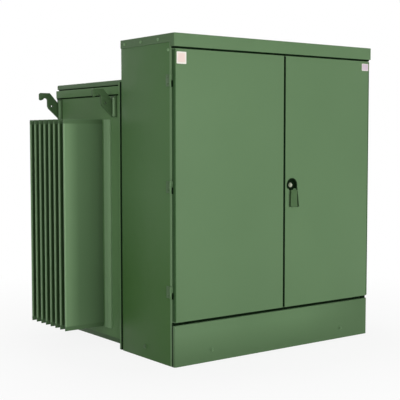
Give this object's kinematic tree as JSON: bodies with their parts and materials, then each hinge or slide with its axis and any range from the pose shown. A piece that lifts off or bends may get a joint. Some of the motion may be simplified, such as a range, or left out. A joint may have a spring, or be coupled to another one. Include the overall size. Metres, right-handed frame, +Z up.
{
  "type": "pad-mounted transformer",
  "caption": "Green pad-mounted box-type transformer: hinged terminal cabinet with a recessed handle, oil tank behind it, side cooling fins and lifting hooks.",
  "frame": {"origin": "bottom centre of the whole unit's box, at ground level", "axes": "+X to the right along the doors, +Y from the doors to the tank, +Z up"},
  "size_m": [1.926, 1.349, 1.76],
  "materials": {
    "green_paint": "semi-matte green paint",
    "pale_paint": "semi-matte green paint, unweathered",
    "gasket_rubber": "black nitrile rubber",
    "bright_steel": "bright zinc-plated steel",
    "epoxy_grey": "moulded dark epoxy",
    "moulded_black": "black moulded polymer",
    "epoxy_brown": "brown cast epoxy",
    "tinned_copper": "tin-plated copper",
    "gauge_face": "pale dial with dark rim",
    "valve_brass": "cast brass",
    "bare_aluminium": "blank anodised plate"
  },
  "bodies": {
    "housing": {"cabinet_left_side": "green_paint", "cabinet_right_side": "green_paint", "cabinet_hood": "green_paint", "cabinet_back_panel": "green_paint", "front_sill": "green_paint", "lower_front_rail": "green_paint", "left_hinge_seats": "green_paint", "right_hinge_seats": "green_paint", "terminal_plate": "pale_paint", "tank_front_flange": "green_paint", "tank_body": "green_paint", "tank_rim": "green_paint", "cover_gasket": "gasket_rubber", "tank_cover": "green_paint", "handhole_cover": "green_paint", "left_base_rail": "green_paint", "right_base_rail": "green_paint", "left_fin_wall": "green_paint", "left_cooling_fins": "green_paint", "right_fin_wall": "green_paint", "right_cooling_fins": "green_paint", "front_left_hook": "green_paint", "rear_left_hook": "green_paint", "front_right_hook": "green_paint", "rear_right_hook": "green_paint", "compartment_barrier": "pale_paint", "hv_bushings": "epoxy_grey", "fuse_holders": "moulded_black", "lv_bushings": "epoxy_brown", "lv_terminal_spades": "tinned_copper", "gauges": "gauge_face", "drain_valve": "valve_brass", "ground_pads": "bright_steel", "nameplate": "bare_aluminium"},
    "left_door": {"left_door": "green_paint", "left_door_stiffeners": "green_paint", "left_hinge_straps": "green_paint"},
    "right_door": {"right_door": "green_paint", "right_door_stiffeners": "green_paint", "right_hinge_straps": "green_paint", "handle_dish": "green_paint", "locking_bolt": "bright_steel", "latch_rods": "bright_steel"},
    "handle": {"door_handle": "green_paint"}
  },
  "joints": [
    {"name": "left_door_swing", "type": "hinge", "parent": "housing", "child": "left_door", "pos_m": [-0.7385, -0.6415, 0.398], "axis": [0, 0, -1], "range_deg": [0, 120]},
    {"name": "right_door_swing", "type": "hinge", "parent": "housing", "child": "right_door", "pos_m": [0.7385, -0.6415, 0.398], "axis": [0, 0, 1], "range_deg": [0, 120]},
    {"name": "handle_pull", "type": "hinge", "parent": "right_door", "child": "handle", "pos_m": [0.11, -0.6645, 0.91], "axis": [-1, 0, 0], "range_deg": [0, 60]}
  ]
}
